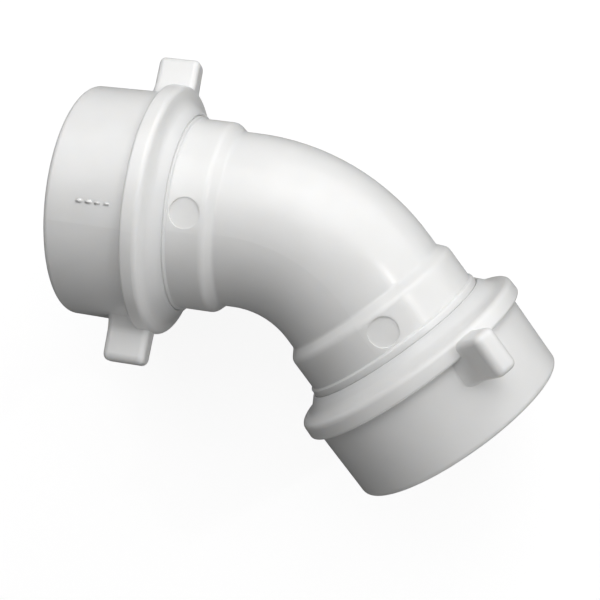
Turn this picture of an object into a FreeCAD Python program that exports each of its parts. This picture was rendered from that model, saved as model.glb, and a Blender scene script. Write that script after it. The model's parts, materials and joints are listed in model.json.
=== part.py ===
import FreeCAD, Part
import math
import os

from FreeCAD import Vector

# Double slip-joint elbow for a waste hose: a moulded bend with a threaded hub at each
# end, and on each hub a winged nut that squeezes a tapered washer onto the pipe.
#
# Row frame: the origin is the centre of the pipe stop in socket A. End A points along -X,
# end B is turned from +X towards -Y, and +Z is square to the bend's plane.
# End frame: each end is drawn with its outward axis along +Z and the bend's normal
# along +X, so a point is (radius, distance from where the two end axes cross), and is
# then placed.

# Bend, millimetres and degrees.
bend_angle = 47.5
bend_radius = 39.5
tube_radius = 21.6
waterway_radius = 18.0

# Pipe socket for a 1-1/2 in tubular pipe, 38.1 mm outside.
pipe_radius = 19.05
socket_clearance = 0.25
socket_radius = pipe_radius + socket_clearance
socket_stop = 22.5
socket_mouth = 49.5

# Hub outside.
hub_start = 20.4
hub_step = 2.3
hub_radius = 23.6
bead_start = 30.85
bead_width = 2.35
bead_height = 0.6
collar_radius = 23.3
collar_end = 35.6
mark_distance = 26.8
mark_radius = 3.65
mark_depth = 0.5
mark_angle = 11.0

# Thread, 11-1/2 turns per inch and right-handed, on the hub and in the nut.
pitch = 25.4 / 11.5
thread_core_radius = 22.3
thread_crest_radius = 23.4
thread_base_width = 1.20
thread_crest_width = 0.50
thread_start = 37.2
thread_end = 48.2
thread_gap = 0.25
thread_root_overlap = 0.3

# Nut outside.
nut_mouth = 31.5
nut_mouth_radius = 24.75
mouth_bore_depth = 2.0
cone_hollow_radius = 27.4
cone_hollow = 34.4
nut_end = 58.7
rim_radius = 31.2
rim_back = 35.3
rim_front = 39.4
barrel_radius = 29.0
barrel_end_radius = 28.7
lip_thickness = 2.6
lip_hole_radius = 19.6

# Wings, two to a nut.
wing_tip_radius = 39.4
wing_back = 36.1
wing_length = 10.6
wing_base_thickness = 6.8
wing_tip_thickness = 5.7
wing_corner_radius = 2.0
wing_edge_radius = 1.5
wing_root_radius = 5.0
wing_foot_spread = 9.5
wing_foot_depth = 4.2

# Tapered washer, a 45 degree nose that sits in the hub's mouth.
seat_depth = 2.2
washer_gap = 0.15
washer_radius = 23.3
washer_hole_radius = 19.15
washer_nose = 0.9

# How each nut stands: the turn of its wings from the bend's normal when it is tight, and
# how far it is then backed off.
wing_angle_when_tight = -66.0
backed_off = {"a": 0.0, "b": 208.0}

# Worked-out sizes.
tangent_length = bend_radius * math.tan(math.radians(bend_angle) / 2)
nut_core_radius = thread_crest_radius + thread_gap
nut_crest_radius = thread_core_radius + thread_gap
lip_inside = nut_end - lip_thickness
bead_radius = hub_radius + bead_height
mouth_bore_radius = bead_radius + 0.15
mouth_bore_end = nut_mouth + mouth_bore_depth

AXIS = Vector(0, 0, 1)
ORIGIN = Vector(0, 0, 0)
CROSSING = Vector(socket_stop, 0, 0)
EMBED = 1.0


def rounded_face(corners, to_vector):
    """Flat face from (u, v, radius) corners, with a tangent arc at each rounded one."""
    edges = []
    starts = []
    ends = []
    count = len(corners)
    for index in range(count):
        u, v, radius = corners[index]
        corner = to_vector(u, v)
        before = to_vector(*corners[index - 1][:2]) - corner
        after = to_vector(*corners[(index + 1) % count][:2]) - corner
        if radius == 0:
            starts.append(corner)
            ends.append(corner)
            continue
        before.normalize()
        after.normalize()
        half = before.getAngle(after) / 2
        inward = (before + after).normalize()
        start = corner + before * (radius / math.tan(half))
        end = corner + after * (radius / math.tan(half))
        middle = corner + inward * (radius / math.sin(half) - radius)
        starts.append(start)
        ends.append(end)
        edges.append((index, Part.Arc(start, middle, end).toShape()))
    outline = []
    arcs = dict(edges)
    for index in range(count):
        if index in arcs:
            outline.append(arcs[index])
        following = (index + 1) % count
        if ends[index].distanceToPoint(starts[following]) > 1e-6:
            outline.append(Part.makeLine(ends[index], starts[following]))
    return Part.Face(Part.Wire(Part.__sortEdges__(outline)))


def turned(corners):
    """Solid of revolution about the end axis, from (radius, distance, rounding) corners."""
    face = rounded_face(corners, lambda radius, distance: Vector(radius, 0, distance))
    return face.revolve(ORIGIN, AXIS, 360)


def placed(shape, end):
    """Move a shape from the end frame to end A or end B of the row frame."""
    outward = {"a": 180.0, "b": -bend_angle}[end]
    shape = shape.copy()
    shape.rotate(ORIGIN, Vector(0, 1, 0), 90)
    shape.rotate(ORIGIN, Vector(1, 0, 0), 180)
    shape.rotate(ORIGIN, AXIS, outward)
    shape.translate(CROSSING)
    return shape


def thread_ridge(root_radius, crest_radius, start, finish):
    """Right-handed helical ridge from root to crest, outward or inward."""
    outward = 1 if crest_radius > root_radius else -1
    foot = root_radius - outward * thread_root_overlap
    slope = (thread_base_width - thread_crest_width) / 2 / abs(crest_radius - root_radius)
    half_foot = thread_base_width / 2 + slope * thread_root_overlap
    half_crest = thread_crest_width / 2
    points = [
        Vector(foot, 0, -half_foot),
        Vector(crest_radius, 0, -half_crest),
        Vector(crest_radius, 0, half_crest),
        Vector(foot, 0, half_foot),
    ]
    section = Part.makePolygon(points + points[:1])
    path = Part.Wire(Part.makeHelix(pitch, finish - start, root_radius))
    ridge = path.makePipeShell([section], True, True)
    ridge.translate(AXIS * start)
    return ridge


def hub(outer_side):
    """Hollow hub with its bead, collar, thread and socket, and a round mark on top.

    outer_side is 1 or -1, the end frame's Y side on which the bend's outside lies.
    """
    step_front = hub_start + hub_step
    bead_end = bead_start + bead_width
    seat_radius = socket_radius + seat_depth
    ring = turned([
        (waterway_radius, tangent_length, 0),
        (tube_radius, tangent_length, 0),
        (tube_radius, hub_start - 0.3, 1.2),
        (hub_radius, step_front - 0.3, 2.2),
        (hub_radius, bead_start, 0.3),
        (bead_radius, bead_start + 0.3, 0.3),
        (bead_radius, bead_end - 0.3, 0.3),
        (collar_radius, bead_end, 0.2),
        (collar_radius, collar_end, 0.4),
        (thread_core_radius, collar_end + 0.8, 0.4),
        (thread_core_radius, socket_mouth, 0.4),
        (seat_radius, socket_mouth, 0.2),
        (socket_radius, socket_mouth - seat_depth, 0),
        (socket_radius, socket_stop, 0),
        (waterway_radius, socket_stop, 0.5),
    ])
    ridge = thread_ridge(thread_core_radius, thread_crest_radius, thread_start, thread_end)
    ring = ring.fuse(ridge)
    mark = Part.makeCylinder(
        mark_radius,
        EMBED,
        Vector(hub_radius - mark_depth, 0, mark_distance),
        Vector(1, 0, 0),
    )
    mark.rotate(ORIGIN, AXIS, outer_side * mark_angle)
    return ring.cut(mark)


def bend():
    """Hollow arc of tube between the two hubs, in the row frame."""
    start = CROSSING - Vector(tangent_length, 0, 0)
    centre = start + Vector(0, -bend_radius, 0)
    circles = []
    for radius in (tube_radius, waterway_radius):
        circle = Part.Circle(start, Vector(1, 0, 0), radius)
        circles.append(Part.Face(Part.Wire(circle.toShape())))
    section = circles[0].cut(circles[1])
    return section.Faces[0].revolve(centre, -AXIS, bend_angle)


def elbow_body():
    """The moulded bend and its two threaded hubs, in one piece."""
    return bend().fuse([placed(hub(1), "a"), placed(hub(-1), "b")]).removeSplitter()


def wing():
    """One wing along +X: an upright tab with a flared foot sunk in the barrel."""
    half_tip = wing_tip_thickness / 2
    half_base = wing_base_thickness / 2
    foot = barrel_radius - EMBED
    sunk = barrel_radius - wing_foot_depth
    corners = [
        (sunk, -wing_foot_spread, 0),
        (foot - 0.9, -wing_foot_spread, 0),
        (foot + 0.7, -half_base, wing_root_radius),
        (wing_tip_radius, -half_tip, wing_corner_radius),
        (wing_tip_radius, half_tip, wing_corner_radius),
        (foot + 0.7, half_base, wing_root_radius),
        (foot - 0.9, wing_foot_spread, 0),
        (sunk, wing_foot_spread, 0),
    ]
    face = rounded_face(corners, lambda out, side: Vector(out, side, wing_back))
    tab = face.extrude(AXIS * wing_length)
    ends = (wing_back, wing_back + wing_length)
    edges = []
    for edge in tab.Edges:
        flat = any(abs(edge.BoundBox.ZMin - z) + abs(edge.BoundBox.ZMax - z) < 1e-6 for z in ends)
        if flat and edge.CenterOfMass.x > foot + 0.5:
            edges.append(edge)
    return tab.makeFillet(wing_edge_radius, edges)


def nut():
    """Winged slip nut, tight on its hub, with its thread and its inward lip."""
    shell = turned([
        (nut_core_radius, mouth_bore_end + 0.7, 0.3),
        (mouth_bore_radius, mouth_bore_end, 0.3),
        (mouth_bore_radius, nut_mouth, 0.1),
        (nut_mouth_radius, nut_mouth, 0.25),
        (cone_hollow_radius, cone_hollow, 4.0),
        (rim_radius - 0.2, rim_back, 1.5),
        (rim_radius, rim_front, 0.7),
        (barrel_radius, rim_front, 0.4),
        (barrel_end_radius, nut_end, 1.4),
        (lip_hole_radius, nut_end, 0.6),
        (lip_hole_radius, lip_inside, 0.3),
        (nut_core_radius, lip_inside, 0.8),
    ])
    ridge_start = thread_start + 1.5 * pitch
    ridge = thread_ridge(nut_core_radius, nut_crest_radius, ridge_start, thread_end)
    body = shell.fuse(ridge)
    wings = []
    for turn in (0, 180):
        tab = wing()
        tab.rotate(ORIGIN, AXIS, turn + wing_angle_when_tight)
        wings.append(tab)
    return body.fuse(wings).removeSplitter()


def tapered_washer():
    """Sealing ring, thick and flat under the nut's lip, tapered into the hub's mouth."""
    nose = socket_mouth - seat_depth + washer_nose
    step = washer_gap * math.sqrt(2)
    nose_radius = socket_radius + washer_nose - step
    taper_end = nose + washer_radius - nose_radius
    back = lip_inside - washer_gap
    return turned([
        (washer_hole_radius, nose, 0),
        (nose_radius, nose, 0.2),
        (washer_radius, taper_end, 0.4),
        (washer_radius, back, 0.5),
        (washer_hole_radius, back, 0.3),
    ])


def backed_off_by(shape, angle):
    """A shape that has turned with its nut and moved out along the thread."""
    shape = shape.copy()
    shape.rotate(ORIGIN, AXIS, angle)
    shape.translate(AXIS * (pitch * angle / 360))
    return shape


os.makedirs("parts", exist_ok=True)
elbow_body().exportStep("parts/elbow_body.step")
for end, angle in backed_off.items():
    placed(backed_off_by(nut(), angle), end).exportStep(f"parts/slip_nut_{end}.step")
    washer = placed(backed_off_by(tapered_washer(), angle), end)
    washer.exportStep(f"parts/tapered_washer_{end}.step")
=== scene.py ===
import json
import math

import bmesh
import bpy
from mathutils import Matrix, Vector


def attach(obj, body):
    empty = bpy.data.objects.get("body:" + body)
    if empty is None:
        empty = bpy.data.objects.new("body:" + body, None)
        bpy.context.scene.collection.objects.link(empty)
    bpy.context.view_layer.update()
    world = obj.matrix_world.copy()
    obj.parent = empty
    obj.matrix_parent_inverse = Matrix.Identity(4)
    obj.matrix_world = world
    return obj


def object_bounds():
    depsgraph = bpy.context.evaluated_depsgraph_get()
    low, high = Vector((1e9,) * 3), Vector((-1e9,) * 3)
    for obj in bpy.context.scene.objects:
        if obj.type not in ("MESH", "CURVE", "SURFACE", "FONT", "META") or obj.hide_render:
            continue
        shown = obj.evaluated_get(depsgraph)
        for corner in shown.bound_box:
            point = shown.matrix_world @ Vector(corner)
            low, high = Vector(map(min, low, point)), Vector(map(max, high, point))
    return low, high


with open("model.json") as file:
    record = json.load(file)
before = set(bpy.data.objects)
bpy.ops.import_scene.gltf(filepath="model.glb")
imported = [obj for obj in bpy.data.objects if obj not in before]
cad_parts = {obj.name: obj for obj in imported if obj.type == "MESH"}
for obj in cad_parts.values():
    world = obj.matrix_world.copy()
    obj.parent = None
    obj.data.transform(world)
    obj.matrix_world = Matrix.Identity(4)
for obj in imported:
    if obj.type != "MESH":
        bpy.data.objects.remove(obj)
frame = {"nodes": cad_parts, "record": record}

cad_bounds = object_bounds()

# The scene is in metres. Small lengths are given in millimetres.
MM = 0.001


# ---- Where things are, from the frame ----

mounts = {mount["name"]: mount for mount in frame["record"]["mounts"]}
socket_a = Vector(mounts["socket_a"]["pos_m"])
socket_b = Vector(mounts["socket_b"]["pos_m"])
outward_a = Vector(mounts["socket_a"]["axis"])
outward_b = Vector(mounts["socket_b"]["axis"])
stop_distance = (socket_b - socket_a).length / (outward_b - outward_a).length
crossing = socket_a - outward_a * stop_distance
middle = (Vector(cad_bounds[0]) + Vector(cad_bounds[1])) / 2


# ---- Node materials ----

# Plastic colours, each with the cloudy shade it drifts to.
WHITE = (0.90, 0.90, 0.895)
CLOUDY_WHITE = (0.81, 0.81, 0.80)
PALE_GREY = (0.74, 0.73, 0.69)
CLOUDY_GREY = (0.56, 0.55, 0.51)

# Noise in the plastic, in cells to a metre.
CLOUD_CELLS = 70
HANDLING_CELLS = 190
WAVE_CELLS = 110
GRAIN_CELLS = 1800
WAVE_DEPTH = 0.05 * MM
GRAIN_DEPTH = 0.0012 * MM

# The clear skin, and how light spreads below it.
COAT_WEIGHT = 0.35
COAT_ROUGHNESS = 0.19
SPREAD = (1.0, 0.95, 0.88)
SPREAD_SCALE = 2.5 * MM
PLASTIC_IOR = 1.49


def material(name, base, roughness):
    """A node material, with its node tree and its Principled shader."""
    made = bpy.data.materials.new(name)
    made.use_nodes = True
    tree = made.node_tree
    shader = tree.nodes["Principled BSDF"]
    shader.inputs["Base Color"].default_value = (*base, 1)
    shader.inputs["Roughness"].default_value = roughness
    return made, tree, shader


def noise(tree, cells, detail):
    """Noise from 0 to 1 over the object's own coordinates."""
    place = tree.nodes.new("ShaderNodeTexCoord")
    field = tree.nodes.new("ShaderNodeTexNoise")
    field.inputs["Scale"].default_value = cells
    field.inputs["Detail"].default_value = detail
    tree.links.new(place.outputs["Object"], field.inputs["Vector"])
    return field.outputs["Fac"]


def ranged(tree, value, low, high):
    """A value from 0 to 1, carried onto low to high."""
    node = tree.nodes.new("ShaderNodeMapRange")
    node.inputs["To Min"].default_value = low
    node.inputs["To Max"].default_value = high
    tree.links.new(value, node.inputs["Value"])
    return node.outputs["Result"]


def blended(tree, factor, first, second):
    """A colour between first, where factor is 0, and second, where it is 1."""
    node = tree.nodes.new("ShaderNodeMix")
    node.data_type = "RGBA"
    colours = [socket for socket in node.inputs if socket.type == "RGBA"]
    for socket, colour in zip(colours, (first, second)):
        socket.default_value = (*colour, 1)
    tree.links.new(factor, node.inputs["Factor"])
    return next(socket for socket in node.outputs if socket.type == "RGBA")


def bumped(tree, shader, layers):
    """Bump from (height output, depth in metres) layers, laid one on another."""
    normal = None
    for height, depth in layers:
        node = tree.nodes.new("ShaderNodeBump")
        node.inputs["Distance"].default_value = depth
        node.inputs["Strength"].default_value = 1.0
        tree.links.new(height, node.inputs["Height"])
        if normal is not None:
            tree.links.new(normal, node.inputs["Normal"])
        normal = node.outputs["Normal"]
    tree.links.new(normal, shader.inputs["Normal"])
    tree.links.new(normal, shader.inputs["Coat Normal"])


def moulded_plastic(name, shade, cloudy, gloss, rough, milkiness):
    """Moulded plastic with a clear skin: faintly cloudy, a little wavy, finely grained.

    Its roughness drifts from gloss to rough. milkiness is how much light goes below the skin.
    """
    made, tree, shader = material(name, shade, gloss)
    cloud = noise(tree, CLOUD_CELLS, detail=2)
    tree.links.new(blended(tree, cloud, cloudy, shade), shader.inputs["Base Color"])
    handling = noise(tree, HANDLING_CELLS, detail=3)
    tree.links.new(ranged(tree, handling, gloss, rough), shader.inputs["Roughness"])
    waves = noise(tree, WAVE_CELLS, detail=1)
    grain = noise(tree, GRAIN_CELLS, detail=2)
    bumped(tree, shader, [(waves, WAVE_DEPTH), (grain, GRAIN_DEPTH)])
    shader.inputs["Coat Weight"].default_value = COAT_WEIGHT
    shader.inputs["Coat Roughness"].default_value = COAT_ROUGHNESS
    shader.inputs["Subsurface Weight"].default_value = milkiness
    shader.inputs["Subsurface Radius"].default_value = SPREAD
    shader.inputs["Subsurface Scale"].default_value = SPREAD_SCALE
    shader.inputs["IOR"].default_value = PLASTIC_IOR
    return made


def finish_node(node, made):
    """Gives a CAD node its material."""
    slots = frame["nodes"][node].data.materials
    slots.clear()
    slots.append(made)


# Light that spreads below the skin makes pieces as small as the dashes dark, so theirs
# has no milkiness.
WHITE_LOOK = {"shade": WHITE, "cloudy": CLOUDY_WHITE, "gloss": 0.25, "rough": 0.45}
WASHER_LOOK = {"shade": PALE_GREY, "cloudy": CLOUDY_GREY, "gloss": 0.35, "rough": 0.70}
plastic = moulded_plastic("milky_plastic", **WHITE_LOOK, milkiness=0.5)
mark_plastic = moulded_plastic("mark_plastic", **WHITE_LOOK, milkiness=0.0)
washer_plastic = moulded_plastic("washer_plastic", **WASHER_LOOK, milkiness=0.3)

finish_node("elbow_body", plastic)
for end in "ab":
    finish_node(f"slip_nut_{end}", plastic)
    finish_node(f"tapered_washer_{end}", washer_plastic)


# ---- Plain raised dashes on the nuts ----

# A dash's length along the barrel, its width round it and its height, mostly sunk.
DASH_SIZE = Vector((1.7, 1.0, 0.8)) * MM
DASH_ROUNDING = 0.22 * MM
DASH_RISE = 0.20 * MM
DASH_STEP = 2.2 * MM
DASHES = 4

# On a tight nut: how far from where the end axes cross, and the turn from the bend's normal.
FIRST_DASH = 43.4 * MM
DASH_ANGLE = math.radians(10.5)

# The barrel tapers slightly. This is its radius under the dashes.
BARREL_RADIUS = 28.9 * MM

behaviour = frame["record"]["behaviour"]
joints = {joint["name"]: joint for joint in behaviour["joints"]}
travel = {pair["follows"]: pair["ratio"] for pair in behaviour["couplings"]}


def dash(mesh, place):
    """One small bar with rounded edges, its length along place's first axis."""
    corners = bmesh.ops.create_cube(mesh, size=1)["verts"]
    bmesh.ops.transform(mesh, matrix=Matrix.Diagonal((*DASH_SIZE, 1)), verts=corners)
    bmesh.ops.transform(mesh, matrix=place, verts=corners)
    edges = list({edge for corner in corners for edge in corner.link_edges})
    bmesh.ops.bevel(mesh, geom=edges, offset=DASH_ROUNDING, segments=4, affect="EDGES")


def dashes(end, outward):
    """A row of raised dashes along a nut's barrel, turned and backed off as the nut is."""
    turned = -math.radians(joints[f"nut_{end}_turn"]["range_deg"][0])
    backed_off = turned * travel[f"nut_{end}_turn"]
    normal = Vector((0, 0, 1))
    side = outward.cross(normal)
    angle = DASH_ANGLE + turned
    out = normal * math.cos(angle) + side * math.sin(angle)
    height = BARREL_RADIUS + DASH_RISE - DASH_SIZE.z / 2
    mesh = bmesh.new()
    for index in range(DASHES):
        along = FIRST_DASH + backed_off + index * DASH_STEP
        place = Matrix((outward, out.cross(outward), out)).transposed().to_4x4()
        place.translation = crossing + outward * along + out * height
        dash(mesh, place)
    bmesh.ops.recalc_face_normals(mesh, faces=mesh.faces)
    shape = bpy.data.meshes.new(f"nut_{end}_dashes")
    mesh.to_mesh(shape)
    mesh.free()
    shape.shade_smooth()
    shape.materials.append(mark_plastic)
    piece = bpy.data.objects.new(f"nut_{end}_dashes", shape)
    bpy.context.scene.collection.objects.link(piece)
    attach(piece, f"nut_{end}")


dashes("a", outward_a)
dashes("b", outward_b)


# ---- Floor, light and camera ----

# Metres. The floor reaches out to the dome.
DOME_RADIUS = 3
FLOOR_SIZE = 2 * DOME_RADIUS
FLOOR_SHADE = (0.25, 0.25, 0.25)
FLOOR_GLOW = 0.88
DOME_SHADE = (0, 0, 0)
DOME_GLOW = 0.93
WORLD_STRENGTH = 0.085

# Name, azimuth and elevation in degrees, distance and size in metres, power in watts.
SOFTBOXES = [
    ("key_light", 60, 12, 0.65, 0.80, 3.4),
    ("back_light", 98, 35, 0.50, 0.45, 1.0),
    ("overhead_light", 115, 60, 0.36, 0.35, 0.25),
    ("fill_light", -12, 8, 1.1, 1.0, 2.1),
    ("low_light", -62, 10, 1.1, 1.0, 2.1),
    ("window_light", 35.6, 34.7, 1.2, 0.05, 0.95),
]

# Millimetres and degrees. The offset is from the crossing, in the camera's own axes.
SENSOR_WIDTH = 36
FOCAL_LENGTH = 64.9
CAMERA_TURNS = (-15.05, 9.58, 8.02)
CAMERA_OFFSET = Vector((-3.9 * MM, -17.2 * MM, 264.5 * MM))


def glowing(name, shade, roughness, glow):
    """A plain material that gives off white light."""
    made, _, shader = material(name, shade, roughness)
    shader.inputs["Emission Color"].default_value = (1, 1, 1, 1)
    shader.inputs["Emission Strength"].default_value = glow
    return made


def floor():
    """A wide pale light table that the fitting lies on, and that doesn't light it."""
    lowest = cad_bounds[0][2]
    bpy.ops.mesh.primitive_plane_add(size=FLOOR_SIZE, location=(0, 0, lowest))
    plane = bpy.context.object
    plane.name = "floor"
    plane.data.materials.append(glowing("pale_floor", FLOOR_SHADE, 0.8, FLOOR_GLOW))
    plane.visible_diffuse = False
    plane.visible_glossy = False


def backdrop():
    """A pale dome all round that neither lights the fitting nor shades it."""
    bpy.ops.mesh.primitive_uv_sphere_add(segments=64, ring_count=32, radius=DOME_RADIUS)
    dome = bpy.context.object
    dome.name = "backdrop"
    dome.data.materials.append(glowing("pale_backdrop", DOME_SHADE, 1.0, DOME_GLOW))
    dome.visible_diffuse = False
    dome.visible_glossy = False
    dome.visible_transmission = False
    dome.visible_shadow = False


def softbox(name, azimuth, elevation, distance, size, power):
    """A square area light pointing at the fitting's middle, placed by its direction."""
    turn, tilt = math.radians(azimuth), math.radians(elevation)
    level = math.cos(tilt)
    direction = Vector((level * math.cos(turn), level * math.sin(turn), math.sin(tilt)))
    light = bpy.data.lights.new(name, "AREA")
    light.shape = "SQUARE"
    light.size = size
    light.energy = power
    lamp = bpy.data.objects.new(name, light)
    lamp.location = middle + direction * distance
    lamp.rotation_euler = direction.to_track_quat("Z", "Y").to_euler()
    lamp.visible_camera = False
    bpy.context.scene.collection.objects.link(lamp)


def camera():
    """A close view from above, a little tilted from square to the bend's plane."""
    lens = bpy.data.cameras.new("camera")
    lens.sensor_width = SENSOR_WIDTH
    lens.lens = FOCAL_LENGTH
    eye = bpy.data.objects.new("camera", lens)
    eye.rotation_mode = "ZYX"
    eye.rotation_euler = [math.radians(turn) for turn in CAMERA_TURNS]
    eye.location = crossing + eye.rotation_euler.to_matrix() @ CAMERA_OFFSET
    bpy.context.scene.collection.objects.link(eye)
    bpy.context.scene.camera = eye


def dim_world():
    """A faint even white light from all sides."""
    world = bpy.data.worlds.new("studio")
    bpy.context.scene.world = world
    world.use_nodes = True
    background = world.node_tree.nodes["Background"]
    background.inputs["Color"].default_value = (1, 1, 1, 1)
    background.inputs["Strength"].default_value = WORLD_STRENGTH


floor()
backdrop()
for box in SOFTBOXES:
    softbox(*box)
camera()
dim_world()
bpy.context.scene.view_settings.view_transform = "Standard"
